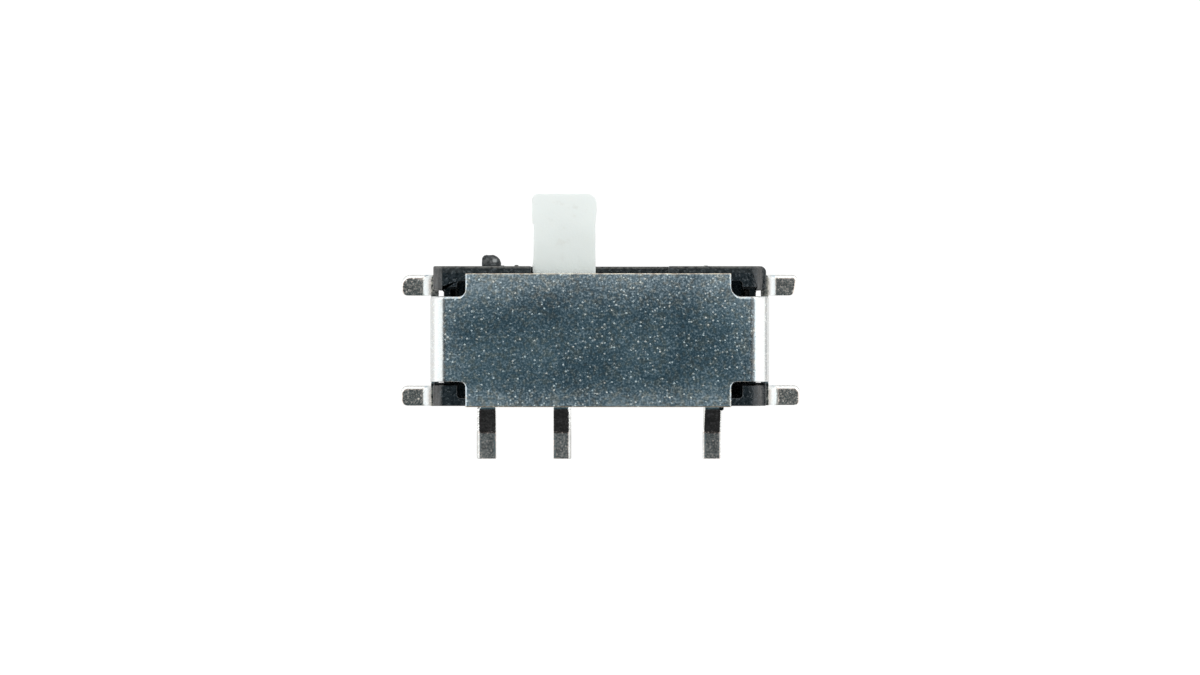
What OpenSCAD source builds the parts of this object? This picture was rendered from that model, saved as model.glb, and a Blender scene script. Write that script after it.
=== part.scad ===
// Surface-mount slide switch: one pole, two positions, with a lever that sticks out sideways.
// Millimetres. The origin lies on the board under the middle of the cover. +Z is up, +X runs
// along the row of terminals and +Y points the way the lever sticks out. The slider stands at
// the -X end of its travel.

/* [Whole switch] */
// Height of the cover's top face above the board
total_h = 1.4; // [1.3:0.05:1.7]
// How far the slider moves from one end to the other
travel = 1.4; // [1.3:0.05:1.5]

/* [Cover] */
// Thickness of the cover's sheet metal
sheet_t = 0.15; // [0.1:0.01:0.18]
// Length of the cover over its two end walls
cover_len = 6.72; // [6.6:0.02:7]
// Depth of the cover's flat top, front to rear
cover_depth = 2.65; // [2.5:0.01:2.72]
// Inside radius of the bend from the top into the end walls
top_bend_r = 0.12; // [0.06:0.01:0.16]
// Width of the narrow tab that folds down at each end
tab_w = 1.72; // [1.5:0.02:1.8]
// Length of the corner notches, back from the end walls' outer faces
notch_len = 0.72; // [0.6:0.01:0.8]
// Radius in the inner corner of each notch
notch_r = 0.13; // [0.05:0.01:0.2]
// Radius of the top's four outer corners
plate_corner_r = 0.03; // [0.01:0.01:0.1]
// Height above the board at which the end walls widen
shoulder_h = 0.62; // [0.58:0.01:0.66]
// Height of the lower edge of the end walls' latch windows
window_z = 0.46; // [0.42:0.01:0.48]
// Height of the latch windows
window_h = 0.32; // [0.28:0.01:0.34]
// Width of the latch windows
window_w = 0.84; // [0.6:0.02:1]

/* [Solder lugs] */
// Distance between the two lugs of one end
lug_pitch = 2.2; // [2.1:0.05:2.3]
// Width of a lug
lug_w = 0.4; // [0.3:0.02:0.44]
// Distance between opposite lug tips, over the whole switch
lug_span = 8; // [7.8:0.02:8.3]
// Radius of the hollow between an end wall and its lugs
lug_bend_r = 0.155; // [0.1:0.005:0.2]
// Radius of the corners of a lug's tip
lug_tip_r = 0.12; // [0.04:0.01:0.14]

/* [Base] */
// Length of the base between its corner blocks' end faces
base_len = 6.54; // [6.48:0.01:6.6]
// Distance from the origin to the base's front face
base_front = 1.45; // [1.42:0.01:1.6]
// Distance from the origin to the base's rear face
base_rear = 1.31; // [1.3:0.01:1.4]
// Chamfer along the top of the corner blocks' ends
block_chamfer = 0.155; // [0.05:0.005:0.18]
// Distance between the front and rear corner blocks
block_gap = 1.94; // [1.9:0.01:2]
// Depth of the hollow between the corner blocks, in from the cover's end wall
end_hollow = 0.11; // [0.06:0.01:0.14]
// Height of the end walls between the corner blocks
end_wall_h = 1.05; // [0.95:0.01:1.1]
// Length of the cavity that holds the slider
cavity_len = 5.64; // [5.5:0.02:5.8]
// Thickness of the front wall
front_wall = 0.29; // [0.24:0.01:0.32]
// Thickness of the rear wall
rear_wall = 0.16; // [0.12:0.01:0.2]
// Height of the cavity's floor above the board
floor_h = 0.4; // [0.34:0.01:0.42]
// Height of the ledge under the lever
sill_h = 0.45; // [0.42:0.01:0.46]

/* [Locating pegs] */
// Diameter of the pegs under the base
peg_d = 0.75; // [0.6:0.05:0.9]
// Length of the pegs
peg_len = 0.5; // [0.4:0.05:0.8]
// Distance between the pegs
peg_pitch = 3; // [2.8:0.1:3.2]
// Chamfer round each peg's tip
peg_chamfer = 0.08; // [0.02:0.01:0.12]

/* [Gate stub] */
// Width of the torn-off gate stub on the front face
stub_w = 0.38; // [0.2:0.02:0.5]
// How far the stub stands out of the front face
stub_len = 0.22; // [0.1:0.02:0.3]
// Height of the stub
stub_h = 0.4; // [0.2:0.02:0.5]
// Distance from the origin to the stub's middle
stub_x = 2.16; // [1.9:0.02:2.4]

/* [Slider] */
// Width of the lever where it leaves the base
lever_w = 1.24; // [1.1:0.02:1.3]
// Width of the lever at its tip, which is a little wider
lever_tip_w = 1.3; // [1.1:0.02:1.5]
// Distance from the origin to the lever's tip
lever_reach = 2.9; // [2.4:0.02:4]
// Height of the lever's underside above the board
lever_z = 0.5; // [0.49:0.01:0.54]
// Thickness of the lever
lever_t = 0.65; // [0.5:0.01:0.66]
// Radius of the corners of the lever's tip
lever_tip_r = 0.13; // [0.05:0.01:0.25]
// Bevel across the slider body's four upright corners
slider_bevel = 0.4; // [0.2:0.02:0.5]
// Thickness of the rim round the clip's pocket
slider_rim = 0.3; // [0.2:0.02:0.4]
// Height of the roof of the clip's pocket above the board
pocket_z = 0.78; // [0.74:0.01:0.84]
// Diameter of the two posts that hold the clip
post_d = 0.3; // [0.2:0.02:0.36]
// Distance between the two posts
post_pitch = 1.1; // [0.9:0.05:1.3]
// Diameter of the posts' flattened heads
post_head_d = 0.42; // [0.38:0.02:0.5]

/* [Contact clip] */
// Thickness of the clip's spring strip
clip_t = 0.06; // [0.04:0.005:0.07]
// Width of one finger of the clip
finger_w = 0.32; // [0.2:0.02:0.36]
// Slot between the two fingers of a pair
finger_gap = 0.2; // [0.1:0.02:0.3]

/* [Terminals] */
// Distance between neighbouring places in the row of terminals
pitch = 1.5; // [1.46:0.01:1.54]
// Thickness of the terminals' strip
strip_t = 0.15; // [0.1:0.01:0.16]
// Width of a terminal's leg
leg_w = 0.36; // [0.3:0.02:0.4]
// Distance from the origin to the ends of the feet
foot_reach = 2.38; // [2.2:0.02:2.6]
// Length of the flat part of a foot
foot_len = 0.53; // [0.4:0.01:0.6]
// Inside radius of the bends in a leg
leg_bend_r = 0.08; // [0.04:0.01:0.1]
// Width of a contact pad, along the row
pad_w = 0.9; // [0.8:0.02:0.96]
// Depth of a contact pad, front to rear
pad_d = 0.94; // [0.9:0.02:1]
// Width of the strip that joins the common pad to its leg
link_w = 0.2; // [0.14:0.01:0.22]
// Height of the ridges that the fingers click over
ridge_h = 0.06; // [0.02:0.01:0.07]
// Width of a ridge at its foot
ridge_w = 0.2; // [0.1:0.02:0.24]

/* [Clearances] */
// Between the base's lower ends and the cover's end walls
wall_gap = 0.01; // [0.005:0.005:0.03]
// Between the slider and the cover above it
lid_gap = 0.04; // [0.02:0.01:0.06]
// Between the slider's rim and the cavity's floor
floor_gap = 0.04; // [0.02:0.01:0.06]
// Between the slider and the cavity's front and rear walls
side_gap = 0.04; // [0.02:0.01:0.06]
// Between the slider and the cavity's ends, at each end of its travel
end_gap = 0.06; // [0.03:0.01:0.1]
// Between the lever and the ends of its slot, at each end of its travel
slot_gap = 0.04; // [0.02:0.01:0.08]
// Between the clip and what holds it
clip_gap = 0.02; // [0.01:0.005:0.03]
// Between the base's catches and the cover's latch windows
catch_gap = 0.03; // [0.02:0.005:0.04]

/* [Hidden] */
$fn = 48;
arc_steps = 8;          // flats in a right-angled bend
past = 0.1;             // how far a cut runs past the face it opens

// Cover
wall_out = cover_len / 2;                      // outer face of an end wall
wall_in = wall_out - sheet_t;                  // its inner face
plate_z = total_h - sheet_t;                   // underside of the top
bend_x = wall_in - top_bend_r;                 // where the top starts to bend down
notch_x = wall_out - notch_len;                // inner edge of the corner notches
wall_half = (lug_pitch + lug_w) / 2;           // half the width of a widened end wall
wall_foot = sheet_t + lug_bend_r;              // lower edge of a wall, where the lugs start to bend

// Base
base_mid = (base_front - base_rear) / 2;
block_x = base_len / 2;                        // end face of a corner block
core_x = wall_in - wall_gap;                   // end face behind the widened end wall
hollow_x = wall_in - end_hollow;               // end face between the corner blocks
block_z = shoulder_h + catch_gap;              // where the blocks reach out over the shoulders
cavity_x = cavity_len / 2;
cavity_front = base_front - front_wall;
cavity_rear = -(base_rear - rear_wall);
slot_x = (lever_w + travel) / 2 + slot_gap;
catch_half = window_w / 2 - catch_gap;
catch_z = window_z + catch_gap;
catch_top = window_z + window_h - catch_gap;
catch_x = wall_out - 2 * catch_gap;            // tip of a catch, inside the wall's outer face
catch_lip = 0.08;                              // upright part of a catch, under its slope

// Slider
slider_x = -travel / 2;                        // middle of the slider as it stands
slider_half = (cavity_len - travel) / 2 - end_gap;
slider_front = cavity_front - side_gap;
slider_rear = cavity_rear + side_gap;
mid_y = (slider_front + slider_rear) / 2;      // middle of the slider and of the contacts
slider_bottom = floor_h + floor_gap;
slider_top = plate_z - lid_gap;
pocket_half = slider_half - slider_rim;
pocket_side = (slider_front - slider_rear) / 2 - slider_rim;

// Contact clip
clip_half = pocket_half - clip_gap;
clip_side = finger_gap / 2 + finger_w;
clip_top = pocket_z;
fold_in_r = 0.06;                              // inside radius of the folds at the clip's ends
contact_x = travel / 2;                        // the contact points lie one travel apart
contact_r = 0.1;                               // inside radius of the contact points
tip_run = 0.22;                                // a finger's turned-up tip, past its contact point
tip_rise = 0.12;

// Terminals
leg_z = floor_h - strip_t / 2;
knee_y = -(base_rear + strip_t / 2);           // where a leg starts down
toe_y = -(foot_reach - foot_len);              // where the foot starts
link_y = mid_y - pad_d / 2 - link_w * 1.5;     // middle of the strip behind the common pad
ridge_top = ridge_w / 3;                       // width of a ridge at its crest
ridge_half = clip_side + clip_gap;

// ---- Outlines ----

function unit(v) = v / norm(v);
function turned(v, a) = [v.x * cos(a) - v.y * sin(a), v.x * sin(a) + v.y * cos(a)];

// Points of the arc of radius r that rounds the corner b between a and c
function corner(a, b, c, r) =
    r <= 0 ? [b] :
    let (u = unit(a - b), v = unit(c - b), half = acos(u * v) / 2,
         centre = b + unit(u + v) * r / sin(half),
         start = b + u * r / tan(half) - centre,
         end = b + v * r / tan(half) - centre,
         turn = sign(cross(start, end)) * (180 - 2 * half),
         steps = max(2, ceil(arc_steps * abs(turn) / 90)))
    [for (i = [0:steps]) centre + turned(start, turn * i / steps)];

// A closed outline with its own radius at each corner
function rounded(points, radii) =
    [for (i = [0:len(points) - 1])
        each corner(points[(i + len(points) - 1) % len(points)], points[i],
                    points[(i + 1) % len(points)], radii[i])];

// An open line with the same bend at each inner point
function bent(points, r) =
    concat([points[0]],
           [for (i = [1:len(points) - 2]) each corner(points[i - 1], points[i], points[i + 1], r)],
           [points[len(points) - 1]]);

// One side of a strip that follows a line, d away from it
function beside(path, d) =
    [for (i = [0:len(path) - 1])
        let (last = len(path) - 1,
             before = unit(path[max(i, 1)] - path[max(i, 1) - 1]),
             after = unit(path[min(i, last - 1) + 1] - path[min(i, last - 1)]),
             n = turned(unit(before + after), 90))
        path[i] + n * d / (n * turned(after, 90))];

function reversed(list) = [for (i = [len(list) - 1:-1:0]) list[i]];

// Outline of a strip of thickness t along a line
function strip(path, t) = concat(beside(path, t / 2), reversed(beside(path, -t / 2)));

function mirrored(points) = [for (p = points) [-p.x, p.y]];

// An outline in X and Z, drawn out along Y
module along_y(y0, y1) {
    translate([0, y1, 0])
        rotate([90, 0, 0])
            linear_extrude(y1 - y0)
                children();
}

// An outline in Y and Z, drawn out along X
module along_x(x0, x1) {
    translate([x0, 0, 0])
        rotate([90, 0, 90])
            linear_extrude(x1 - x0)
                children();
}

module block(low, high) {
    translate(low)
        cube(high - low);
}

module both_ends() {
    children();
    mirror([1, 0, 0])
        children();
}

// ---- Cover ----

module cover_top() {
    edge = cover_depth / 2;
    tab = tab_w / 2;
    half = [[notch_x, -edge], [notch_x, -tab], [bend_x, -tab],
            [bend_x, tab], [notch_x, tab], [notch_x, edge]];
    radii = [plate_corner_r, notch_r, 0, 0, notch_r, plate_corner_r];
    translate([0, 0, plate_z])
        linear_extrude(sheet_t)
            polygon(rounded(concat(half, reversed(mirrored(half))),
                            concat(radii, reversed(radii))));
}

module end_tab() {
    middle = wall_out - sheet_t / 2;
    line = [[notch_x, plate_z + sheet_t / 2], [middle, plate_z + sheet_t / 2], [middle, wall_foot]];
    along_y(-tab_w / 2, tab_w / 2)
        polygon(strip(bent(line, top_bend_r + sheet_t / 2), sheet_t));
}

module lug() {
    middle = wall_out - sheet_t / 2;
    tip = lug_span / 2;
    half = lug_w / 2;
    line = [[middle, shoulder_h], [middle, sheet_t / 2], [tip, sheet_t / 2]];
    plan = [[wall_in - past, -half], [tip, -half], [tip, half], [wall_in - past, half]];
    intersection() {
        along_y(-half, half)
            polygon(strip(bent(line, lug_bend_r + sheet_t / 2), sheet_t));
        linear_extrude(shoulder_h)
            polygon(rounded(plan, [0, lug_tip_r, lug_tip_r, 0]));
    }
}

module end_wall() {
    difference() {
        union() {
            end_tab();
            block([wall_in, -wall_half, wall_foot], [wall_out, wall_half, shoulder_h]);
        }
        block([wall_in - past, -window_w / 2, window_z],
              [wall_out + past, window_w / 2, window_z + window_h]);
    }
    for (side = [-1, 1])
        translate([0, side * lug_pitch / 2, 0])
            lug();
}

module cover() color([0.62, 0.66, 0.68]) {
    cover_top();
    both_ends()
        end_wall();
}

// ---- Terminals ----

// Leg with its gull foot, from root_y out through the rear wall
module leg(x, root_y) {
    line = [[root_y, leg_z], [knee_y, leg_z], [toe_y, strip_t / 2], [-foot_reach, strip_t / 2]];
    along_x(x - leg_w / 2, x + leg_w / 2)
        polygon(strip(bent(line, leg_bend_r + strip_t / 2), strip_t));
}

// Flat part of a terminal, level with the cavity's floor
module flat(x0, x1, y0, y1) {
    block([x0, y0, floor_h - strip_t], [x1, y1, floor_h]);
}

// A terminal at one end of the row: its pad reaches out to its leg
module side_terminal(side) {
    leg_x = side * 1.5 * pitch;
    pad_x = side * travel;
    leg(leg_x, mid_y);
    flat(min(leg_x - leg_w / 2, pad_x - pad_w / 2), max(leg_x + leg_w / 2, pad_x + pad_w / 2),
         mid_y - pad_d / 2, mid_y + pad_d / 2);
}

module terminal_left() color([0.6, 0.6, 0.58])
    side_terminal(-1);

module terminal_right() color([0.6, 0.6, 0.58])
    side_terminal(1);

// The common terminal: a link behind the left pad joins its own pad to its leg
module terminal_common() color([0.6, 0.6, 0.58]) {
    leg_x = -pitch / 2;
    leg(leg_x, link_y);
    flat(-pad_w / 2, pad_w / 2, mid_y - pad_d / 2, mid_y + pad_d / 2);
    flat(leg_x - leg_w / 2, pad_w / 2, link_y - link_w / 2, link_y + link_w / 2);
    flat(0, pad_w / 2, link_y, mid_y);
}

// ---- Base ----

module base_block() {
    half = [[core_x, 0], [core_x, block_z], [block_x, block_z],
            [block_x, plate_z - block_chamfer], [block_x - block_chamfer, plate_z]];
    along_y(-base_rear, base_front)
        polygon(concat(half, reversed(mirrored(half))));
}

// Hollow between the corner blocks, which the cover's end tab folds into
module end_recess() {
    block([hollow_x, base_mid - block_gap / 2, -past],
          [block_x + past, base_mid + block_gap / 2, plate_z + past]);
    block([cavity_x - past, base_mid - block_gap / 2, end_wall_h],
          [hollow_x + past, base_mid + block_gap / 2, plate_z + past]);
}

// Moulded catch that snaps into the cover's latch window
module catch() {
    along_y(-catch_half, catch_half)
        polygon([[hollow_x - past, catch_z], [catch_x, catch_z], [catch_x, catch_z + catch_lip],
                 [wall_in, catch_top], [hollow_x - past, catch_top]]);
}

module ridge(x) {
    along_y(mid_y - ridge_half, mid_y + ridge_half)
        polygon([[x - ridge_w / 2, floor_h - ridge_h], [x + ridge_w / 2, floor_h - ridge_h],
                 [x + ridge_w / 2, floor_h], [x + ridge_top / 2, floor_h + ridge_h],
                 [x - ridge_top / 2, floor_h + ridge_h], [x - ridge_w / 2, floor_h]]);
}

module peg(x) {
    r = peg_d / 2;
    translate([x, 0, 0])
        rotate_extrude()
            polygon([[0, -peg_len], [r - peg_chamfer, -peg_len], [r, peg_chamfer - peg_len],
                     [r, past], [0, past]]);
}

// What is left of the gate where the moulding was torn off its runner
module gate_stub() {
    half = stub_w / 2;
    root = base_front - past;
    tip = base_front + stub_len;
    plan = [[-half, root], [half, root], [half / 2, tip], [-half, tip]];
    translate([-stub_x, 0, (sill_h + plate_z - stub_h) / 2])
        linear_extrude(stub_h)
            polygon(rounded(plan, [0, 0, stub_len / 4, stub_len / 4]));
}

module base() color([0.13, 0.13, 0.14]) {
    difference() {
        union() {
            difference() {
                base_block();
                both_ends()
                    end_recess();
                block([-cavity_x, cavity_rear, floor_h], [cavity_x, cavity_front, plate_z + past]);
                block([-slot_x, cavity_front - past, sill_h],
                      [slot_x, base_front + past, plate_z + past]);
            }
            for (side = [-1, 1]) {
                ridge(side * travel / 2);
                peg(side * peg_pitch / 2);
            }
            both_ends()
                catch();
            gate_stub();
        }
        terminal_left();
        terminal_common();
        terminal_right();
    }
}

// ---- Slider ----

module slider_body() {
    x0 = slider_x - slider_half;
    x1 = slider_x + slider_half;
    b = slider_bevel;
    translate([0, 0, slider_bottom])
        linear_extrude(slider_top - slider_bottom)
            polygon([[x0 + b, slider_rear], [x1 - b, slider_rear], [x1, slider_rear + b],
                     [x1, slider_front - b], [x1 - b, slider_front], [x0 + b, slider_front],
                     [x0, slider_front - b], [x0, slider_rear + b]]);
}

module lever() {
    half = lever_w / 2;
    tip = lever_tip_w / 2;
    root = slider_front - slider_rim;
    plan = [[-half, root], [half, root], [half, base_front],
            [tip, lever_reach], [-tip, lever_reach], [-half, base_front]];
    translate([slider_x, 0, lever_z])
        linear_extrude(lever_t)
            polygon(rounded(plan, [0, 0, 0, lever_tip_r, lever_tip_r, 0]));
}

// Post through the clip, with the head that was flattened over it
module post(x) {
    translate([x, mid_y, clip_top - clip_t - clip_t / 2])
        cylinder(d = post_d, h = clip_t * 1.5 + past);
    translate([x, mid_y, clip_top - clip_t - clip_t / 2])
        cylinder(d = post_head_d, h = clip_t / 2);
}

module slider() color([0.92, 0.92, 0.9]) {
    difference() {
        union() {
            slider_body();
            lever();
        }
        block([slider_x - pocket_half, mid_y - pocket_side, slider_bottom - past],
              [slider_x + pocket_half, mid_y + pocket_side, pocket_z]);
    }
    for (side = [-1, 1])
        post(slider_x + side * post_pitch / 2);
}

// ---- Contact clip ----

// One end of the clip: out along the pocket's roof, folded back under itself and down to the
// contact point, with its tip turned up
module clip_arm() {
    low_z = floor_h + clip_t / 2;
    fold_r = fold_in_r + clip_t / 2;
    fold_mid = [clip_half - fold_r - clip_t / 2, clip_top - clip_t / 2 - fold_r];
    fold = [for (i = [0:2 * arc_steps]) fold_mid + turned([0, fold_r], -90 * i / arc_steps)];
    finger = bent([fold_mid - [0, fold_r], [contact_x, low_z],
                   [contact_x - tip_run, low_z + tip_rise]], contact_r);
    root = [0, clip_top - clip_t / 2];
    polygon(strip(concat([root], fold, [for (i = [1:len(finger) - 1]) finger[i]]), clip_t));
}

module contact_clip() color([0.8, 0.55, 0.3])
    translate([slider_x, mid_y, 0])
        difference() {
            union() {
                both_ends()
                    for (side = [-1, 1])
                        along_y(side < 0 ? -clip_side : finger_gap / 2,
                                side < 0 ? -finger_gap / 2 : clip_side)
                            clip_arm();
                block([-contact_x, -clip_side, clip_top - clip_t],
                      [contact_x, clip_side, clip_top]);
            }
            for (side = [-1, 1])
                translate([side * post_pitch / 2, 0, clip_top - clip_t - past])
                    cylinder(d = post_d + 2 * clip_gap, h = clip_t + 2 * past);
        }

base();
terminal_left();
terminal_common();
terminal_right();
contact_clip();
slider();
cover();
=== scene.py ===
import math

import bmesh
import bpy
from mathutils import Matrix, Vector


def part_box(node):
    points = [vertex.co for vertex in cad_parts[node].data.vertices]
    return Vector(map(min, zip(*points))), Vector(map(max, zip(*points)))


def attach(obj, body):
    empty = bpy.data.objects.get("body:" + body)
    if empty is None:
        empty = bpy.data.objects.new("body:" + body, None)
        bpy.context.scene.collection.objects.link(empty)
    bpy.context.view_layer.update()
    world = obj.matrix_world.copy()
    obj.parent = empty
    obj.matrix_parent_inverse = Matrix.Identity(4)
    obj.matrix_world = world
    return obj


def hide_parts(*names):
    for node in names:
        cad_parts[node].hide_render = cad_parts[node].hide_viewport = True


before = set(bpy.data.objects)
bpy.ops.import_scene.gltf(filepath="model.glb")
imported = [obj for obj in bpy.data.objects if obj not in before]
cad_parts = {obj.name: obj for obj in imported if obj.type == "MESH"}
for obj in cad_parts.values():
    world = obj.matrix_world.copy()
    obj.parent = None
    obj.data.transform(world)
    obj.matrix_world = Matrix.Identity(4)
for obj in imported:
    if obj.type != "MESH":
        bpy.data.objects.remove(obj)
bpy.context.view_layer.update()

# ---- Terminals ----
# Three terminals stamped from tin-plated strip and bent down to gull feet. The base is moulded
# round them, and their pads lie flush in its floor, where the sliding contact runs over them.

MM = 0.001


def span(node):
    """The two corners of a CAD node's box, in millimetres."""
    return [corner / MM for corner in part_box(node)]


def new_block(name, low, high):
    """A block between two corners in millimetres, left open in edit mode."""
    bpy.ops.object.select_all(action="DESELECT")
    low, high = Vector(low), Vector(high)
    bpy.ops.mesh.primitive_cube_add(size=1, location=(low + high) / 2, scale=high - low)
    bpy.ops.object.transform_apply()
    block = bpy.context.object
    block.name = block.data.name = name
    bpy.ops.object.mode_set(mode="EDIT")
    return block


def pick(kind, test):
    """Selects the open mesh's faces, edges or points by their place and direction."""
    bpy.ops.mesh.select_mode(type=kind)
    bpy.ops.mesh.select_all(action="DESELECT")
    mesh = bmesh.from_edit_mesh(bpy.context.object.data)
    mesh.normal_update()
    for part in {"FACE": mesh.faces, "EDGE": mesh.edges, "VERT": mesh.verts}[kind]:
        if kind == "FACE":
            part.select_set(bool(test(part.calc_center_median(), part.normal)))
        elif kind == "EDGE":
            part.select_set(bool(test(part.verts[0].co, part.verts[1].co)))
        else:
            part.select_set(bool(test(part.co)))
    bmesh.update_edit_mesh(bpy.context.object.data)


def pull(x=0.0, y=0.0, z=0.0):
    """Extrudes what is selected."""
    bpy.ops.mesh.extrude_region_move(TRANSFORM_OT_translate={"value": (x, y, z)})


def fold(degrees, centre, axis, steps):
    """Extrudes what is selected round an axis, right-handed."""
    bpy.ops.mesh.spin(steps=steps, angle=-math.radians(degrees), center=centre, axis=axis)


def slice_at(axis, *places):
    """Cuts the whole open mesh across one axis."""
    for place in places:
        bpy.ops.mesh.select_all(action="SELECT")
        bpy.ops.mesh.bisect(plane_co=[place if i == axis else 0 for i in range(3)],
                            plane_no=[float(i == axis) for i in range(3)])


def round_off(radius, segments, test):
    """Rounds the edges that pass a test."""
    pick("EDGE", test)
    bpy.ops.mesh.bevel(offset=radius, segments=segments, affect="EDGES")


def along(a, b, axis):
    """True where an edge runs along one axis."""
    return all(abs(a[i] - b[i]) < 1e-4 for i in range(3) if i != axis)


def near(a, b, reach=1e-3):
    """True where two places on one axis are the same, within a reach in millimetres."""
    return abs(a - b) < reach


def weigh(share):
    """Gives each outer edge of the open mesh its share of the rounding to come, by the place of
    its middle and the way it faces."""
    mesh = bmesh.from_edit_mesh(bpy.context.object.data)
    mesh.normal_update()
    layer = (mesh.edges.layers.float.get("bevel_weight_edge")
             or mesh.edges.layers.float.new("bevel_weight_edge"))
    for edge in mesh.edges:
        edge[layer] = 0
        if edge.calc_face_angle_signed(0) > math.radians(40):
            edge[layer] = share((edge.verts[0].co + edge.verts[1].co) / 2,
                                edge.link_faces[0].normal + edge.link_faces[1].normal)
    bmesh.update_edit_mesh(bpy.context.object.data)


def choose(piece):
    """Selects one object alone."""
    bpy.ops.object.select_all(action="DESELECT")
    piece.select_set(True)
    bpy.context.view_layer.objects.active = piece


def modify(piece, kind, **settings):
    """Adds a modifier and applies it."""
    choose(piece)
    bpy.ops.object.modifier_add(type=kind)
    modifier = piece.modifiers[-1]
    for name, value in settings.items():
        setattr(modifier, name, value)
    bpy.ops.object.modifier_apply(modifier=modifier.name)


def settle(piece, body, slot, *nodes):
    """Brings a piece from millimetres to metres and ties it to the CAD model."""
    choose(piece)
    piece.scale = (MM, MM, MM)
    bpy.ops.object.transform_apply(location=False, rotation=False, scale=True)
    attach(piece, body)
    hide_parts(*nodes)


def soften(piece, width, segments=3):
    """Rounds the weighted edges, drops the slivers this leaves, and shades the piece smooth with
    its flat faces kept flat."""
    bpy.ops.object.mode_set(mode="OBJECT")
    modify(piece, "BEVEL", width=width, segments=segments, limit_method="WEIGHT",
           use_clamp_overlap=False)
    bpy.ops.object.mode_set(mode="EDIT")
    bpy.ops.mesh.select_all(action="SELECT")
    bpy.ops.mesh.dissolve_degenerate(threshold=1e-4)
    bpy.ops.object.mode_set(mode="OBJECT")
    bpy.ops.object.shade_smooth_by_angle(angle=math.radians(50))
    modify(piece, "WEIGHTED_NORMAL", keep_sharp=True)


class Wire:
    """A socket in a material. Arithmetic on wires adds Math nodes."""

    def __init__(self, tree, socket):
        self.tree = tree
        self.socket = socket

    def node(self, kind, settings=None, inputs=None, out=0):
        """Adds a node: first its settings, then the values or wires of its sockets."""
        node = self.tree.nodes.new("ShaderNode" + kind)
        for name, value in (settings or {}).items():
            setattr(node, name, value)
        for name, value in (inputs or {}).items():
            if isinstance(value, Wire):
                self.tree.links.new(value.socket, node.inputs[name])
            else:
                node.inputs[name].default_value = value
        return Wire(self.tree, node.outputs[out])

    def math(self, operation, *terms):
        """Adds one Math node on wires and numbers."""
        return self.node("Math", {"operation": operation}, dict(enumerate(terms)))

    def __add__(self, other):
        return self.math("ADD", self, other)

    __radd__ = __add__

    def __mul__(self, other):
        return self.math("MULTIPLY", self, other)

    __rmul__ = __mul__

    def __sub__(self, other):
        return self.math("SUBTRACT", self, other)

    def __rsub__(self, other):
        return self.math("SUBTRACT", other, self)

    def __abs__(self):
        return self.math("ABSOLUTE", self)

    def step(self, low, high):
        """0 below low, 1 above high and smooth between them."""
        return self.node("MapRange", {"interpolation_type": "SMOOTHSTEP"},
                         {"Value": self, "From Min": low, "From Max": high})

    def tint(self, a, b):
        """The colour a where the wire is 0 and b where it is 1."""
        a, b = [c if isinstance(c, Wire) else (*c, 1) for c in (a, b)]
        return self.node("Mix", {"data_type": "RGBA"}, {0: self, 6: a, 7: b}, out=2)

    def stretched(self, x, y, z):
        """Coordinates with each axis scaled by its own factor."""
        return self.node("VectorMath", {"operation": "MULTIPLY"}, {0: self, 1: (x, y, z)})

    def parts(self):
        """The X, Y and Z of a vector, each as a wire."""
        split = self.node("SeparateXYZ", inputs={0: self})
        return [Wire(self.tree, s) for s in split.socket.node.outputs]

    def noise(self, scale, detail=2.0, roughness=0.5):
        """Cloudy noise around 0.5, with a scale in patches to the millimetre."""
        return self.node("TexNoise", inputs={"Vector": self, "Scale": scale, "Detail": detail,
                                             "Roughness": roughness})

    def cells(self, scale, out):
        """A pattern of random cells: their distance from the middle (0) or a random colour (1)."""
        return self.node("TexVoronoi", inputs={"Vector": self, "Scale": scale}, out=out)


def new_finish(name):
    """A new node material, and the place on the surface in millimetres."""
    material = bpy.data.materials.new(name)
    material.use_nodes = True
    tree = material.node_tree
    place = Wire(tree, tree.nodes.new("ShaderNodeTexCoord").outputs["Object"])
    return material, place.node("VectorMath", {"operation": "SCALE"}, {0: place, "Scale": 1 / MM})


def surface(material, values):
    """Sets the values and wires of the material's own shader."""
    shader = material.node_tree.nodes["Principled BSDF"]
    for name, value in values.items():
        if isinstance(value, Wire):
            material.node_tree.links.new(value.socket, shader.inputs[name])
        else:
            shader.inputs[name].default_value = value


def bumped(height, depth):
    """A normal raised and sunk by a height from 0 to 1, over a depth in millimetres."""
    return height.node("Bump", inputs={"Height": height, "Distance": depth * MM, "Strength": 1.0})


def tin_plate():
    """Matt tin on the terminals, dull and grainy on top, bright where the edges rolled over, and
    darkened with painted shade along the feet's lower edges and undersides.
    """
    material, place = new_finish("terminal_tin")
    x, y, z = place.parts()
    grain = place.noise(26, 1, 0.5)
    patches = place.noise(4, 2, 0.6)
    ridges = place.stretched(3, 22, 3).noise(1, 2, 0.6)
    tone = (grain * 0.45 + patches * 0.35 + ridges * 0.2).step(0.36, 0.64)
    foot = (y * -1.0).step(-toe_y - 0.05, -toe_y + 0.03)
    off_middle = abs(abs(abs(x) - pitch) - pitch / 2)       # how far out on its leg a place is
    flat = foot * z.step(strip - 0.01, strip - 0.003)
    # Painted shade: the feet's lower edges and undersides, near the floor, are darkened.
    painted_edge_shade = foot * z.step(strip - 0.02, strip - 0.04) * grain.step(0.3, 0.5)
    dull = flat.tint(tone.tint((0.46, 0.47, 0.46), (0.96, 0.96, 0.94)),
                     tone.tint((0.34, 0.27, 0.24), (0.84, 0.70, 0.62)))
    rolled = off_middle.step(0.12, 0.14) * tone.step(0.8, 0.3)
    surface(material, {
        "Base Color": (painted_edge_shade * 0.6).tint((rolled * 0.8).tint(dull, (0.62, 0.61, 0.58)),
                                         (0.42, 0.41, 0.39)),
        "Metallic": 1.0,
        "Roughness": (grain.step(0.5, 0.8) * (foot * 0.14 + 0.08) + foot * 0.16
                      + patches * 0.05 + 0.10),
        "Normal": bumped(grain + ridges * 0.6, 0.0018)})
    return material


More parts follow.
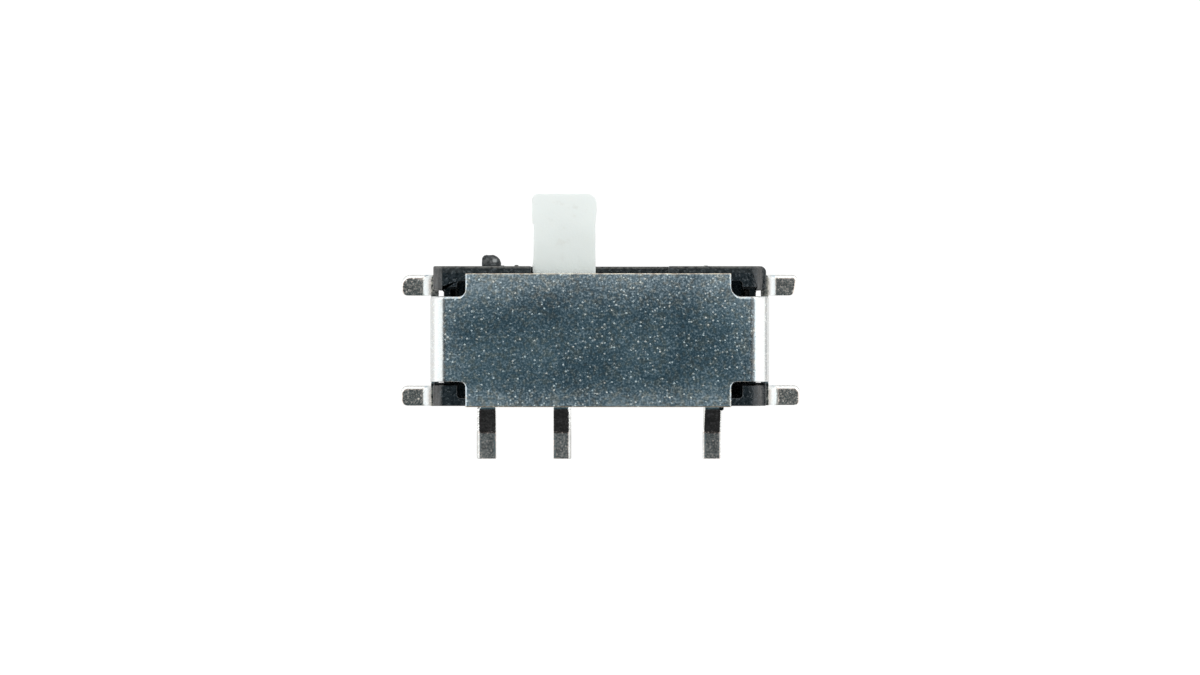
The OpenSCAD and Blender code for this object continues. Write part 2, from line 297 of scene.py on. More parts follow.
strip = 0.15                                   # thickness of the strip
strip_round = 0.05                             # how wide its edges rolled over, where they did
leg_half = 0.18                                # half the width of a leg
pitch = 1.5                                    # from one place for a leg to the next
foot_y = span("terminal_left")[0].y            # the feet's ends
knee_y, toe_y = -1.36, -1.85                   # where the strip's middle line bends
knee_r = 0.08 + strip / 2                      # radius of the bends along the strip's middle
floor_top = 0.40                               # the pads' top faces
pad_x, pad_half = 1.4, 0.45                    # middle of an end pad, and half a pad's width
pad_rear, pad_front = -0.465, 0.475

tin = tin_plate()


def gull_leg(x, roll_left, roll_right):
    """Draws a leg out of the rear face of the open strip: knee, slope and foot. The two shares say
    how far its left and right edges rolled over."""
    fall = floor_top - strip
    run = knee_y - toe_y
    slope = math.atan2(fall, run)
    bite = knee_r * math.tan(slope / 2)
    length = math.hypot(run, fall) - 2 * bite
    turn = math.degrees(slope)
    start = knee_y + bite
    pick("FACE", lambda c, n: n.y < -0.9 and near(c.x, x) and c.y < -0.4)
    mesh = bmesh.from_edit_mesh(bpy.context.object.data)
    root = [f for f in mesh.faces if f.select][0].calc_center_median().y
    pull(y=start - root)
    fold(turn, (x, start, floor_top - strip / 2 - knee_r), (1, 0, 0), 4)
    pull(y=-length * math.cos(slope), z=-length * math.sin(slope))
    fold(-turn, (x, toe_y - bite, strip / 2 + knee_r), (1, 0, 0), 4)
    pull(y=foot_y - (toe_y - bite))

    def roll(m, facing):
        """The share of the rounding for one edge: none inside the base, a little on the foot's
        end and underneath, and the most on top, where the strip was stamped."""
        end_share, low_share = 0.35, 0.15
        if m.y > root - 0.02:
            return 0
        if near(m.y, foot_y):
            return end_share
        rise = min(1, max(0, (m.y - toe_y) / (knee_y - toe_y)))
        if m.z < strip / 2 + rise * (floor_top - strip):
            return low_share
        return roll_left if facing.x < 0 else roll_right

    weigh(roll)


def side_terminal(name, side, rolls):
    """A terminal at one end of the row, with its leg at the outer side of its pad."""
    leg_x = side * 1.5 * pitch
    low_x = min(leg_x - leg_half, side * pad_x - pad_half)
    high_x = max(leg_x + leg_half, side * pad_x + pad_half)
    piece = new_block(name, (low_x, pad_rear, floor_top - strip), (high_x, pad_front, floor_top))
    slice_at(0, leg_x - side * leg_half)
    gull_leg(leg_x, *rolls)
    return piece


def middle_terminal(name, rolls):
    """The common terminal: a link behind the left pad joins its own pad to its leg."""
    leg_x = -0.5 * pitch
    link_front, link_rear = -0.665, -0.865
    piece = new_block(name, (-pad_half, pad_rear, floor_top - strip),
                      (pad_half, pad_front, floor_top))
    slice_at(0, 0)
    pick("FACE", lambda c, n: n.y < -0.9 and c.x > 0)
    pull(y=link_front - pad_rear)
    pull(y=link_rear - link_front)
    pick("FACE", lambda c, n: n.x < -0.9 and c.y < link_front)
    pull(x=leg_x + leg_half)
    pull(x=-2 * leg_half)
    gull_leg(leg_x, *rolls)
    return piece


# Two of the three left the stamping a little off: a leg too wide, and a foot bent to one side.
terminals = {}
extra_width, sideways = 0.03, 0.013
terminals["terminal_left"] = side_terminal("terminal_strip_left", -1, (1.4, 0.3))
pick("VERT", lambda p: near(p.x, -1.5 * pitch - leg_half) and p.y < knee_y)
bpy.ops.transform.translate(value=(-extra_width, 0, 0))
soften(terminals["terminal_left"], strip_round)
terminals["terminal_common"] = middle_terminal("terminal_strip_common", (0.3, 1.5))
soften(terminals["terminal_common"], strip_round)
terminals["terminal_right"] = side_terminal("terminal_strip_right", 1, (0.8, 0.6))
pick("VERT", lambda p: p.y < toe_y + 0.04)
bpy.ops.transform.translate(value=(-sideways, 0, 0))
soften(terminals["terminal_right"], strip_round)

inserts = []                                   # copies in millimetres, for the base to be cut by
for name, terminal in terminals.items():
    choose(terminal)
    bpy.ops.object.duplicate()
    inserts.append(bpy.context.object)
    terminal.data.materials.append(tin)
    settle(terminal, "housing", "terminal_plate", name)

# ---- Base ----
# A black moulding of heat-resistant plastic, with blocks at its four corners, a deep cavity for
# the slider, a slot for the lever and two pegs that drop into the board.


def black_moulding():
    """Black plastic, grainy from its tool, painted black as shade in its recesses, pale along the
    edges of its front and torn off at its gate.
    """
    material, place = new_finish("base_black")
    x, y, z = place.parts()
    black = (0, 0, 0)
    grain = place.noise(15, 2, 0.6)
    drag = place.stretched(13, 1.6, 13).noise(1, 2, 0.6)
    specks = place.noise(19, 1, 0.5).step(0.53, 0.74)

    # The tops of the corner blocks, dusty on their slanted outer sides, and painted black as painted
    # shade low in the recess and the cavity.
    flank = abs(x).step(3.1, 3.14)
    tone = (grain * (1.0 - flank * 0.8) + drag * flank * 0.8).step(0.3, 0.75)
    plain = tone.tint((0.002, 0.003, 0.004), (0.017, 0.022, 0.026))
    dust = drag.step(0.35, 0.7).tint(black, (0.092, 0.087, 0.081))
    dusty = (flank * z.step(1.0, 1.1) * 0.8).tint(plain, dust)
    # Painted shade: below the blocks' tops and behind the front, inside the ends, the plastic is
    # painted pure black.
    painted_recess_shade = z.step(1.2, 1.1) * y.step(1.2, 1.1) * abs(x).step(3.14, 3.12)
    body = painted_recess_shade.tint(dusty, black)

    # The front, with a pale band along its top edge and along the sill under the lever.
    front = y.step(1.3, 1.34)
    smoother = tone.tint((0.004, 0.005, 0.004), (0.028, 0.030, 0.028))
    sill = z.step(sill_z - 0.01, sill_z - 0.005) * z.step(sill_z + 0.02, sill_z + 0.01)
    pale_band = y.step(front_y - 0.055, front_y - 0.035) * (z.step(1.1, 1.2) + sill)
    fore = (front * (z * 0.3)).tint(body, smoother)
    pale_banded = (pale_band * grain.step(0.2, 0.6)).tint(fore, (0.11, 0.105, 0.095))

    # The gate stub, broken and rough, with a dark lip round its end and one pale chip.
    torn = (y.step(front_y + 0.015, front_y + 0.025) * abs(x - stub_x).step(0.25, 0.2)
            * z.step(0.6, 0.65))
    crumbs = grain.step(0.36, 0.62).tint((0.006, 0.006, 0.006), (0.075, 0.075, 0.072))
    broken = torn.tint(pale_banded, crumbs)
    lip = torn * (y.step(1.62, 1.66) + abs(x + 1.99).step(0.05, 0.02) * 0.8)
    chip = torn * abs(x + 2.08).step(0.06, 0.02) * abs(y - 1.57).step(0.05, 0.015)
    stub = lip.tint(broken, (0.006, 0.006, 0.006))

    walls = (y * -1.0).step(1.295, 1.305) + y.step(front_y - 0.01, front_y - 0.002)
    ends = x.step(3.19, 3.2)
    rough = grain + drag * 0.5 + torn * grain * 2.0 + specks * (ends * 2.0 + 0.5)
    surface(material, {
        "Base Color": chip.tint((specks * 0.38).tint(stub, (0.08, 0.10, 0.11)), (0.30, 0.30, 0.29)),
        "Specular IOR Level": 0.65,
        "Roughness": grain * 0.16 + front * 0.1 + 0.16,
        "Normal": bumped(rough * (1.0 - walls * 0.6), 0.007)})
    return material


def cut(piece, cutter):
    """Takes a closed mesh out of a piece, and uses it up."""
    modify(piece, "BOOLEAN", operation="DIFFERENCE", object=cutter)
    bpy.data.objects.remove(cutter)


def weld(piece, other):
    """Joins another closed mesh to a piece, as one solid."""
    modify(piece, "BOOLEAN", operation="UNION", object=other)
    bpy.data.objects.remove(other)


def carve(piece, low, high, corner=0.0):
    """Cuts a block out of a piece, with its upright corners rounded."""
    cutter = new_block("cutter", low, high)
    if corner:
        round_off(corner, 4, lambda a, b: along(a, b, 2))
    bpy.ops.object.mode_set(mode="OBJECT")
    cut(piece, cutter)


def new_rod(name, x, y, low, high, width):
    """An upright rod in millimetres, left open in edit mode."""
    bpy.ops.object.select_all(action="DESELECT")
    bpy.ops.mesh.primitive_cylinder_add(vertices=48, radius=width / 2, depth=high - low,
                                        location=(x, y, (low + high) / 2))
    bpy.ops.object.transform_apply()
    rod = bpy.context.object
    rod.name = rod.data.name = name
    bpy.ops.object.mode_set(mode="EDIT")
    return rod


def add_on(piece, other):
    """Shades the open mesh smooth and makes it part of another piece."""
    bpy.ops.object.mode_set(mode="OBJECT")
    bpy.ops.object.shade_smooth_by_angle(angle=math.radians(50))
    bpy.ops.object.select_all(action="DESELECT")
    other.select_set(True)
    piece.select_set(True)
    bpy.context.view_layer.objects.active = piece
    bpy.ops.object.join()


base_low, base_high = span("base")
rear_y, front_y = base_low.y, 1.46
block_x, block_z = base_high.x, 0.65           # outer face and underside of the corner blocks
core_x = 3.20                                  # end faces below the blocks
top_z = base_high.z
cavity_x, cavity_rear, cavity_front = 2.82, -1.15, 1.16
slot_x, sill_z = 1.36, 0.45                    # the lever's slot
recess_rear, recess_front = -0.90, 1.04        # the sunk ledge between two blocks
recess_x, ledge_z = 2.96, 0.85
hollow_x, hollow_rear = 3.10, -0.85            # the hollow for the end wall, below the ledge
hollow_front = recess_front - 0.06
catch_x, catch_half = 3.3, 0.39                # tip and half width of a catch for the cover
catch_low, catch_high = 0.49, 0.75
peg_x, peg_width, peg_end = 1.5, 0.75, -0.5
stub_x = -2.15                                 # middle of the gate stub, then its sides and end
stub_left, stub_right, stub_y = -2.335, -1.965, 1.68
past = 0.3                                     # how far a cutter runs on outside the moulding


def trim(place, normal):
    """Planes away what lies beyond a slanted face."""
    bpy.ops.mesh.select_all(action="SELECT")
    bpy.ops.mesh.bisect(plane_co=place, plane_no=normal, use_fill=True, clear_outer=True)


# The lower part, then the wider part on it, whose outer edges are planed to two slopes each.
core = new_block("core", (-core_x, rear_y, 0), (core_x, front_y, block_z + 0.05))
round_off(0.06, 3, lambda a, b: along(a, b, 2))
bpy.ops.object.mode_set(mode="OBJECT")
base = new_block("base_moulding", (-block_x, rear_y, block_z), (block_x, front_y, top_z))
round_off(0.12, 5, lambda a, b: along(a, b, 2) and a.x > 0 and a.y > 0)
round_off(0.03, 3, lambda a, b: along(a, b, 2) and not (a.x > 0 and a.y > 0))
for place, slope in ((-block_x + 0.14, -1), (-block_x + 0.19, -0.4),
                     (block_x - 0.24, 1), (block_x - 0.31, 0.4)):
    trim((place, 0, top_z), (slope, 0, 1))
bpy.ops.object.mode_set(mode="OBJECT")
weld(base, core)

# A low step along the right edge, the cavity, and the slot that the lever sticks out of.
step_width, step_depth = 0.08, 0.22
carve(base, (block_x - step_width, rear_y - past, top_z - step_depth),
      (block_x + past, front_y + past, top_z))
carve(base, (-cavity_x, cavity_rear, floor_top), (cavity_x, cavity_front, top_z + past), 0.06)
carve(base, (-slot_x, cavity_front - 0.1, sill_z), (slot_x, front_y + past, top_z + past))

# Between the two blocks at each end: room for the end wall below and above the ledge, the
# ledge itself, and a well behind it.
for side in (-1, 1):
    outer = sorted((side * hollow_x, side * (block_x + past)))
    inner = sorted((side * (cavity_x - 0.1), side * hollow_x))
    well = sorted((side * (cavity_x - 0.1), side * recess_x))
    carve(base, (outer[0], hollow_rear, -past), (outer[1], hollow_front, ledge_z + 0.1))
    carve(base, (outer[0], recess_rear, ledge_z), (outer[1], hollow_front, top_z + past))
    carve(base, (inner[0], recess_rear, ledge_z), (inner[1], recess_front, top_z + past))
    carve(base, (well[0], recess_rear + 0.04, floor_top + 0.1), (well[1], recess_front - 0.04, 1.0))

# A catch for the cover and a peg for the board at each end.
for side in (-1, 1):
    left, right = sorted((side * 3.0, side * catch_x))
    catch = new_block("catch", (left, -catch_half, catch_low), (right, catch_half, catch_high))
    trim((side * catch_x, 0, 0.57), (2 * side, 0, 1))      # so that the cover can spring over it
    bpy.ops.object.mode_set(mode="OBJECT")
    weld(base, catch)
    peg = new_rod("peg", side * peg_x, 0, peg_end, 0.2, peg_width)
    round_off(0.08, 1, lambda a, b: near(a.z, peg_end) and near(b.z, peg_end))
    bpy.ops.object.mode_set(mode="OBJECT")
    weld(base, peg)

for insert in inserts:
    cut(base, insert)

# The blocks' corners beside the end walls are rounder than the rest.
bpy.ops.object.mode_set(mode="EDIT")
round_off(0.05, 4, lambda a, b: near(a.y, hollow_front) and near(b.y, hollow_front)
          and min(abs(a.x), abs(b.x)) > 3.05 and min(a.z, b.z) > block_z - 0.01 and a.z != b.z)
weigh(lambda m, facing: 1)
soften(base, 0.018, 2)

# What the tool left behind: the stub of the gate, burrs on the front edge, and a sliver of web.
stub = new_block("gate_stub", (stub_left, front_y - 0.1, 0.66), (stub_right, stub_y, 1.05))
round_off(0.09, 4, lambda a, b: along(a, b, 2) and near(a.y, stub_y) and a.x < stub_x)
round_off(0.17, 5, lambda a, b: along(a, b, 2) and near(a.y, stub_y) and a.x > stub_x + 0.1)
round_off(0.03, 2, lambda a, b: a.y > front_y and b.y > front_y and not along(a, b, 2))
bpy.ops.mesh.select_all(action="SELECT")
bpy.ops.mesh.subdivide(number_cuts=2)
bpy.ops.transform.vertex_random(offset=0.012, seed=4)
add_on(base, stub)
for x, half, out in ((-1.93, 0.05, 0.012), (-1.65, 0.04, 0.022), (2.1, 0.05, 0.01)):
    burr = new_block("burr", (x - half, front_y - 0.05, 0.9), (x + half, front_y + out, 1.2))
    round_off(half * 0.45, 2, lambda a, b: along(a, b, 2) and a.y > front_y)
    add_on(base, burr)
web = new_block("web", (2.38, rear_y - 0.10, 0.2), (2.47, rear_y + 0.05, 0.5))
round_off(0.04, 3, lambda a, b: along(a, b, 2) and a.y < rear_y)
add_on(base, web)

base.data.materials.append(black_moulding())
settle(base, "housing", "base_plastic", "base")

# ---- Slider ----
# One white moulding: a block that slides in the cavity, with a pocket under it for the contact
# clip, and the lever that sticks out of the slot.


def white_moulding():
    """Natural white plastic, a little milky and faintly smudged, greyed by painted shade toward its
    root and on the lever's sides.
    """
    material, place = new_finish("slider_white")
    x, y, z = place.parts()
    clouds = place.noise(1.6, 3, 0.55)
    grain = place.noise(22, 2, 0.6)
    # Painted shade: greyer from the lever's tip toward its root and over the block.
    root = (y * -0.6 + clouds * 0.3 + 1.5).step(0.0, 1.05)
    body = root.tint((0.858, 0.870, 0.832), (0.69, 0.705, 0.668))
    smudges = place.noise(3.2, 4, 0.7).step(0.54, 0.72) * 0.25
    # Painted shade on the lever's sides, below its top edge.
    painted_side_shade = y.step(1.2, 1.3) * z.step(1.145, 1.125) * (clouds.step(0.3, 0.6) * 0.3 + 0.3)
    surface(material, {
        "Base Color": painted_side_shade.tint(smudges.tint(body, (0.62, 0.57, 0.50)), (0.50, 0.48, 0.44)),
        "Roughness": grain * 0.1 + 0.34,
        "Subsurface Weight": 0.25,
        "Subsurface Radius": (1.0, 0.95, 0.9),
        "Subsurface Scale": 0.25 * MM,
        "Normal": bumped(grain, 0.002)})
    return material


slider_low, slider_high = span("slider")
chamfer = 0.4                                  # across the block's upright corners
body_front = 1.12
lever_x, lever_half = -0.70, 0.62
lever_z, lever_top = 0.50, 1.15
lever_reach = slider_high.y
pocket_rim, pocket_depth = 0.3, 0.34
post_x, post_y, post_low = 0.55, 0.005, 0.69   # the two posts in the pocket, off the lever's middle

slider = new_block("slider_moulding", (slider_low.x, slider_low.y, slider_low.z),
                   (slider_high.x, body_front, slider_high.z))
round_off(chamfer, 1, lambda a, b: along(a, b, 2))
slice_at(0, lever_x - lever_half, lever_x + lever_half)
slice_at(2, lever_z, lever_top)
pick("FACE", lambda c, n: n.y > 0.9 and near(c.x, lever_x, 0.1) and lever_z < c.z < lever_top)

# The lever's outline from its root to its tip: how far out each side stands, left and right.
outline = ((front_y, 0.633, 0.617), (1.66, 0.611, 0.615), (2.30, 0.611, 0.615),
           (2.325, 0.645, 0.618), (2.60, 0.648, 0.645), (lever_reach, 0.645, 0.635))
last_y = body_front
last_half = {-1: lever_half, 1: lever_half}
for y, left, right in outline:
    pull(y=y - last_y)
    last_y = y
    for side, half in ((-1, left), (1, right)):
        pick("VERT", lambda p: near(p.y, y) and (p.x - lever_x) * side > 0.1)
        bpy.ops.transform.translate(value=(side * (half - last_half[side]), 0, 0))
        last_half[side] = half
    pick("FACE", lambda c, n: n.y > 0.9 and near(c.y, y))
for side, radius in ((-1, 0.13), (1, 0.19)):
    round_off(radius, 6, lambda a, b: along(a, b, 2) and near(a.y, lever_reach)
              and (a.x - lever_x) * side > 0.4)
pick("FACE", lambda c, n: n.z < -0.9 and c.y < body_front)
bpy.ops.mesh.dissolve_faces()
bpy.ops.mesh.inset(thickness=pocket_rim)
pull(z=pocket_depth)
weigh(lambda m, facing: 0.45 if m.y > body_front + 0.01 else 0.7)
soften(slider, 0.025)
for side in (-1, 1):
    for width, high in ((0.42, 0.72), (0.30, 0.80)):       # its flattened head, then its neck
        add_on(slider, new_rod("post", lever_x + side * post_x, post_y, post_low, high, width))
slider.data.materials.append(white_moulding())
settle(slider, "slider", "slider_plastic", "slider")

# ---- Contact clip ----
# A sprung strip of bare bronze that rides in the pocket under the slider. Its folded fingers
# bridge two neighbouring pads. The CAD solid has its true form and only gets its finish here.


def bare_bronze():
    """Rolled bronze with streaks along the strip."""
    material, place = new_finish("clip_bronze")
    streaks = place.stretched(1.5, 40, 40).noise(1, 3, 0.6)
    stain = place.noise(3, 3, 0.6)
    surface(material, {
        "Base Color": (streaks * 0.5 + stain * 0.5).step(0.3, 0.7).tint((0.55, 0.33, 0.17),
                                                                       (0.80, 0.55, 0.33)),
        "Metallic": 1.0,
        "Roughness": streaks * 0.3 + 0.18,
        "Normal": bumped(streaks, 0.002)})
    return material


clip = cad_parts["contact_clip"]
clip.data.materials.clear()
clip.data.materials.append(bare_bronze())

# ---- Cover ----
# One sheet of tin-plated steel: punched with a notch at each corner, folded down at both ends,
# sprung over the base's catches, and bent out again at its foot to four solder lugs.


def speckled_plate():
    """Rolled and plated steel: a blue-grey sheen broken up by fine speckle and bright glints."""
    material, place = new_finish("cover_tin")
    x, y, z = place.parts()
    fine = place.noise(27, 0, 0.5)
    grit = place.noise(13, 1, 0.5)
    clouds = place.noise(0.8, 5, 0.62)
    hue = place.stretched(1, -1, 1).noise(11, 1, 0.5)
    speck = (fine * 0.8 + grit * 0.4).step(0.5, 0.95)
    share, shade, _ = place.cells(21, 1).parts()
    glint = place.cells(21, 0).step(0.46, 0.2) * share.step(0.74, 0.95)

    # The plate, cloudy and paler toward its edges, with a dark seam where each end bends down.
    edgeward = y.step(0.3, 1.35) * 2.5 + (y * -1.0).step(0.7, 1.3) * 1.8 + abs(x).step(2.4, 3.15) * 1.15
    tone = (fine * 0.45 + grit * 0.15 + clouds * 0.65 + edgeward * 0.02).step(0.38, 0.87)
    cool = tone.tint((0.21, 0.27, 0.31), (0.62, 0.69, 0.72))
    warm = tone.tint((0.28, 0.27, 0.27), (0.70, 0.69, 0.63))
    plate = hue.step(0.46, 0.64).tint(cool, warm)
    ragged = abs(x + 0.035) + grit * 0.06
    seam = ragged.step(3.035, 3.055) * ragged.step(3.13, 3.11) * z.step(1.2, 1.25)

    # The flat tops of the lugs, matt and brownish.
    lug = abs(x).step(3.48, 3.53)
    drag = place.stretched(3, 20, 1).noise(1, 2, 0.6)
    matt = (fine * 0.4 + grit * 0.3 + drag * 0.3).step(0.36, 0.64)
    flat = lug * z.step(sheet - 0.01, sheet - 0.003) * z.step(sheet + 0.008, sheet + 0.003)
    brown = matt.tint((0.46, 0.36, 0.31), (0.82, 0.68, 0.59))
    body = (seam * grit.step(0.3, 0.5) * 0.75).tint(flat.tint(plate, brown), (0.16, 0.15, 0.14))

    # The rolled rims at the front and the rear: a painted highlight along the front rim, gold and
    # broken into beads, and brown along the rear.
    front = y.step(1.286, 1.308) * z.step(1.34, 1.37)
    rear = (y * -1.0).step(1.3, 1.322) * z.step(1.34, 1.37)
    beads = place.stretched(9, 2, 2).noise(1, 2, 0.6).step(0.35, 0.65)
    painted_gold_highlight = beads.tint((0.42, 0.30, 0.20), (1.0, 0.86, 0.64))
    rim = (front * 0.8).tint((rear * 0.8).tint(body, (0.50, 0.38, 0.26)), painted_gold_highlight)

    # The bent ends, painted paler than the top as a painted sheen, with dark marks down the walls,
    # darker on the left, and painted shade over the hollows and the lower walls.
    ends = ((z - abs(x).step(3.04, 3.12) * 0.016).step(1.38, 1.37)
            * z.step(sheet + 0.003, sheet + 0.008) * 0.8)
    left = x.step(0.1, -0.1)
    # Painted shade on the lower walls, and more in the left hollows into the lugs.
    painted_hollow_shade = z.step(0.5, 0.4) * (z.step(sheet + 0.005, 0.26) * left * 0.45 + 0.2)
    lines = x.step(3.26, 3.28) * (x.step(3.32, 3.30) * 0.6 + 0.35) + x.step(-3.272, -3.292) * 0.2
    dark_marks_and_shade = painted_hollow_shade + abs(x).step(3.9, 3.93) * 0.3 + z.step(0.5, 0.6) * (lines + left * 0.25)
    folded = (dark_marks_and_shade * fine.step(0.2, 0.5)).tint((0.86, 0.86, 0.84), (0.40, 0.40, 0.39))
    # The lugs' cut edges and undersides get the painted sheen too.
    painted_bend_sheen = ends.tint((lug * z.step(sheet - 0.003, sheet - 0.01)).tint(rim, (0.88, 0.88, 0.86)),
                         folded)

    # Painted shade on the lugs' lower edges, their rear and inner sides and the creases where they
    # bend, and on the rough cut above each lug.
    crease = abs(x).step(3.52, 3.53) * abs(x).step(3.56, 3.55) * z.step(sheet - 0.01, sheet - 0.003)
    painted_edge_shade = lug * (crease * fine.step(0.2, 0.4) * 0.8 + y.step(-1.27, -1.285) * 0.7
                   + z.step(sheet - 0.02, sheet - 0.04) * fine.step(0.25, 0.45) * 0.7
                   + y.step(0.93, 0.91) * y.step(0.85, 0.9) * 0.7)
    shaded_edges = painted_edge_shade.tint(painted_bend_sheen, (0.34, 0.33, 0.30))
    # The rough cut at each shoulder, darkened with painted shade from the base's block over it.
    shoulder_cut_shade = (z.step(shoulder_z - 0.02, shoulder_z - 0.01) * z.step(shoulder_z + 0.02, shoulder_z + 0.01)
            * abs(x).step(3.2, 3.22) * abs(y).step(0.85, 0.88))
    torn = grit.step(0.36, 0.6).tint((0.03, 0.026, 0.02), (0.44, 0.40, 0.34))
    steel = (shoulder_cut_shade * 0.9).tint(shaded_edges, torn)

    sparkle = shade.tint((1.0, 0.93, 0.82), (0.84, 1.0, 0.98))
    surface(material, {
        "Base Color": (glint * 0.65).tint(steel, sparkle),
        "Metallic": 1.0,
        "Roughness": (speck * 0.14 + glint * 0.18 + edgeward * (1.0 - lug) * 0.06 + clouds * 0.10
                      + lug * 0.07 + 0.145),
        "Normal": bumped(fine * 0.6 + grit * 0.6 + glint, 0.0022)})
    return material


cover_high = span("cover")[1]
sheet = 0.15
roof_z, tip_x = cover_high.z, cover_high.x     # the top, and the end of the longest lug
wall_x, wall_foot = 3.36, 0.42                 # outer face and lower edge of an end wall
past_top = 3.2                                 # beyond this only the walls and lugs are left
shoulder_z = 0.62                              # where a wall widens to carry the lugs
window_half, window_low, window_high = 0.42, 0.46, 0.78

# No two ends or corners left the press alike, so these go by end, or by side and end: -1 is left
# or rear, and 1 is right or front.
plate_y = {-1: -1.33, 1: 1.311}                # rear and front edges of the top
notch_x = {-1: 2.66, 1: 2.60}                  # where the notches start, left and right
tab_y = {-1: -0.83, 1: 0.86}                   # and rear and front
notch_radii = {(-1, 1): 0.13, (1, 1): 0.19, (-1, -1): 0.11, (1, -1): 0.11}
bend_r = {-1: 0.185, 1: 0.27}                  # inside radius of the fold into each end wall
hollow_r = {(-1, 1): 0.215, (1, 1): 0.19, (-1, -1): 0.22, (1, -1): 0.24}    # and out to each lug
lug_y = {                                      # a lug's inner and outer sides
    (-1, 1): (0.882, 1.30),
    (1, 1): (0.885, 1.30),
    (-1, -1): (-0.918, -1.318),
    (1, -1): (-0.91, -1.305),
}
lug_tips = {                                   # reach, then the front and rear corners' radii
    (-1, 1): (3.97, 0.19, 0.13),
    (1, 1): (3.955, 0.10, 0.10),
    (-1, -1): (3.98, 0.14, 0.14),
    (1, -1): (tip_x, 0.13, 0.11),
}

# The flat top, with a tab between the notches at each end.
cover = new_block("cover_sheet", (-notch_x[-1], plate_y[-1], roof_z - sheet),
                  (notch_x[1], plate_y[1], roof_z))
slice_at(1, *tab_y.values())
for side in (-1, 1):
    pick("FACE", lambda c, n: n.x * side > 0.9 and tab_y[-1] < c.y < tab_y[1])
    pull(x=side * (wall_x - sheet - bend_r[side] - notch_x[side]))
bpy.ops.mesh.select_all(action="SELECT")
bpy.ops.mesh.dissolve_limited(angle_limit=math.radians(1))
for (side, end), radius in notch_radii.items():
    round_off(radius, 7, lambda a, b: along(a, b, 2) and near(a.x, side * notch_x[side])
              and near(a.y, tab_y[end]))

# Each tab goes over the fold and down the wall, widens below its shoulder, and turns out to two
# lugs. The wall is drawn in bands, so that its shoulder and its window have edges to start from.
for side in (-1, 1):
    bend_x, bend_z = wall_x - sheet - bend_r[side], roof_z - sheet - bend_r[side]
    pick("FACE", lambda c, n: n.x * side > 0.9 and near(c.x, side * bend_x))
    fold(side * 90, (side * bend_x, 0, bend_z), (0, 1, 0), 10)
    for low, high in ((window_high, bend_z), (shoulder_z, window_high),
                      (window_low, shoulder_z), (wall_foot, window_low)):
        pull(z=low - high)
    for end in (-1, 1):
        inner, outer = lug_y[side, end]
        pick("FACE", lambda c, n: n.y * end > 0.9 and c.x * side > past_top
             and near(c.y, tab_y[end]) and wall_foot < c.z < shoulder_z)
        pull(y=inner - tab_y[end])
        pull(y=outer - inner)
        pick("FACE", lambda c, n: n.z < -0.9 and near(c.z, wall_foot)
             and c.x * side > past_top and c.y * end > abs(inner))
        radius = hollow_r[side, end]
        pull(z=sheet + radius - wall_foot)
        fold(-side * 90, (side * (wall_x + radius), 0, sheet + radius), (0, 1, 0), 8)
        pull(x=side * (lug_tips[side, end][0] - wall_x - radius))

# A window in each end wall, for the base's catch.
for end in (-1, 1):
    pick("FACE", lambda c, n: abs(c.x) > past_top and c.z < 1.1)
    bpy.ops.mesh.bisect(plane_co=(0, end * window_half, 0), plane_no=(0, 1, 0))
for side in (-1, 1):
    pick("FACE", lambda c, n: c.x * side > past_top and abs(n.x) > 0.9
         and abs(c.y) < window_half and window_low < c.z < window_high)
    bpy.ops.mesh.bridge_edge_loops()


def on_face(m):
    """True on the side of the sheet that was outermost when it was punched."""
    x, z = abs(m.x), m.z
    radius = bend_r[1 if m.x > 0 else -1]
    if z > roof_z - sheet - radius:
        return math.hypot(max(0, x - wall_x + sheet + radius),
                          z - roof_z + sheet + radius) > sheet + radius - 0.01
    hollow = hollow_r[1 if m.x > 0 else -1, 1 if m.y > 0 else -1]
    if z > sheet + hollow:
        return x > wall_x - 0.01
    return math.hypot(min(0, x - wall_x - hollow), z - sheet - hollow) < hollow + 0.01


# The lugs' corners. One lug's end is cut slanting.
slant = 0.07
pick("VERT", lambda p: near(p.x, lug_tips[1, 1][0]) and near(p.y, lug_y[1, 1][0]))
bpy.ops.transform.translate(value=(-slant, 0, 0))
for (side, end), (reach, *corners) in lug_tips.items():
    for radius, y in zip(corners, sorted(lug_y[side, end], reverse=True)):
        round_off(radius, 6, lambda a, b: along(a, b, 2) and near(a.x, side * reach, 0.08)
                  and near(a.y, y))


def worn_edge(m, facing):
    """The share of the rounding for one edge: most on the punched face of the walls and lugs
    where it faces the front, and least on the other face."""
    front, rear = max(0, facing.y), max(0, -facing.y)
    if not on_face(m):
        return 0.15
    if near(m.z, shoulder_z, 0.01):
        return 0.1
    if m.z < 1.1:                              # the walls and the lugs
        return 0.5 + 0.5 * front - 0.4 * rear
    if abs(m.y) > 1.3:                         # the front and rear edges of the top
        return 0.2
    return 0.45 - 1.1 * front + 1.35 * front * front - 0.2 * rear    # the notches


weigh(worn_edge)
soften(cover, 0.09, 4)
cover.data.materials.append(speckled_plate())
settle(cover, "housing", "cover_plate", "cover")

# ---- Floor, light and camera ----
# A plain white sweep lit from below, with tall soft panels to the left, the right and behind.

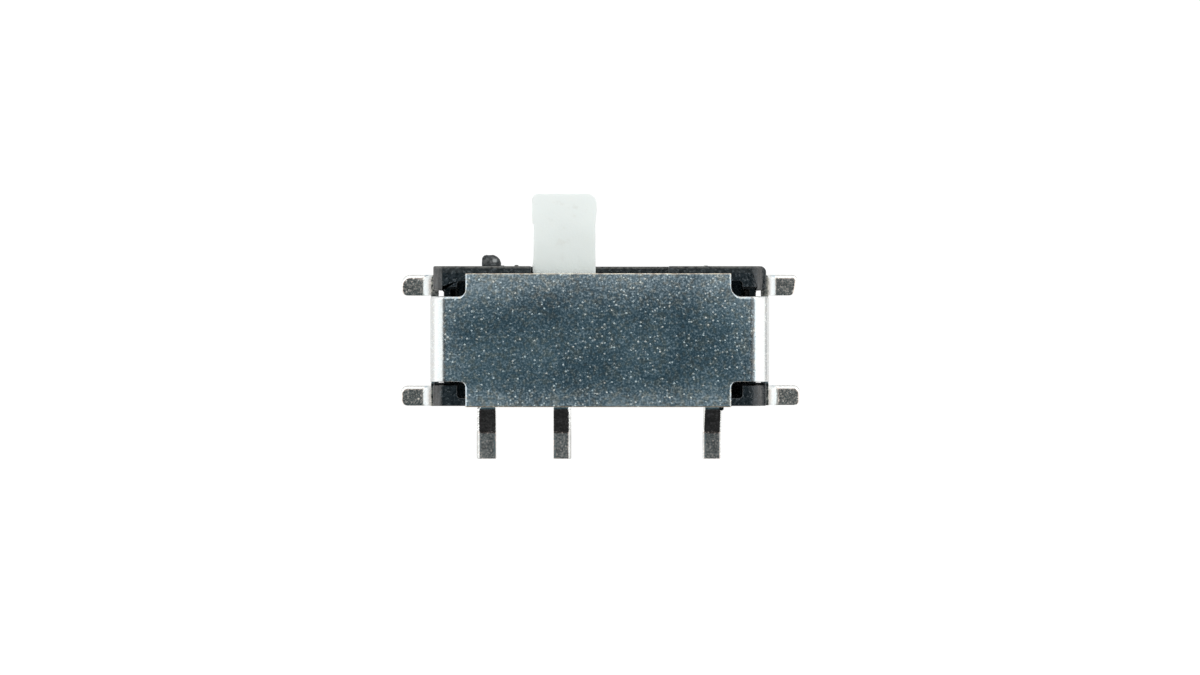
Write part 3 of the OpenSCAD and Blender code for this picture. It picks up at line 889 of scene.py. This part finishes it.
floor_z = base_low.z
floor_width = 1200
bpy.ops.object.select_all(action="DESELECT")
bpy.ops.mesh.primitive_plane_add(size=floor_width * MM, location=(0, 0, floor_z * MM))
floor = bpy.context.object
floor.name = "floor"
paper, _ = new_finish("floor_paper")
surface(paper, {"Base Color": (0.1, 0.1, 0.1, 1), "Roughness": 0.9,
                "Emission Color": (1, 1, 1, 1), "Emission Strength": 0.97})
floor.data.materials.append(paper)

world = bpy.data.worlds.new("studio")
bpy.context.scene.world = world
world.use_nodes = True
sky = world.node_tree.nodes["Background"]
seen = Wire(world.node_tree, world.node_tree.nodes.new("ShaderNodeLightPath").outputs[0])
toward = Wire(world.node_tree, world.node_tree.nodes.new("ShaderNodeTexCoord").outputs["Object"])
x, y, z = toward.parts()
overhead = (y * -1.0).step(0.25, 0.6).tint((0.077, 0.139, 0.171), (0.027, 0.027, 0.028))
low = (z.step(0.42, 0.25) * 0.9).tint(overhead, (0.35, 0.36, 0.37))
world.node_tree.links.new(seen.tint(low, (1.0, 1.0, 1.0)).socket, sky.inputs["Color"])


def panel(name, place, size, radiance, turn):
    """A soft panel of light that faces the switch from one side."""
    bpy.ops.object.light_add(type="AREA", location=[p * MM for p in place])
    lamp = bpy.context.object
    lamp.name = name
    lamp.data.shape = "RECTANGLE"
    lamp.data.size, lamp.data.size_y = [s * MM for s in size]
    lamp.data.energy = radiance * math.pi * lamp.data.size * lamp.data.size_y
    lamp.rotation_euler = turn
    lamp.visible_camera = False


away, up = 120, 65                             # from the switch to a panel's middle, in mm
lean = math.radians(47)
tall, side_width, back_width = 177, 260, 240
glow = 1.25
panel("panel_left", (-away, 0, up), (tall, side_width), glow, (0, -lean, 0))
panel("panel_right", (away, 0, up), (tall, side_width), glow, (0, lean, 0))
panel("panel_back", (0, away, up), (back_width, tall), glow, (-lean, 0, 0))

camera_data = bpy.data.cameras.new("camera")
camera = bpy.data.objects.new("camera", camera_data)
bpy.context.scene.collection.objects.link(camera)
bpy.context.scene.camera = camera
foot_z = 0.1                                   # the picture is 24 mm wide at this height
height, frame_width = 105.0, 24.0
aim_x, aim_y = 0.004, 0.046
camera.location = (aim_x * MM, aim_y * MM, (foot_z + height) * MM)
camera_data.sensor_width = 36.0
camera_data.lens = camera_data.sensor_width * height / frame_width
camera_data.clip_start = 0.001
camera_data.clip_end = 10
bpy.context.scene.view_settings.view_transform = "Standard"
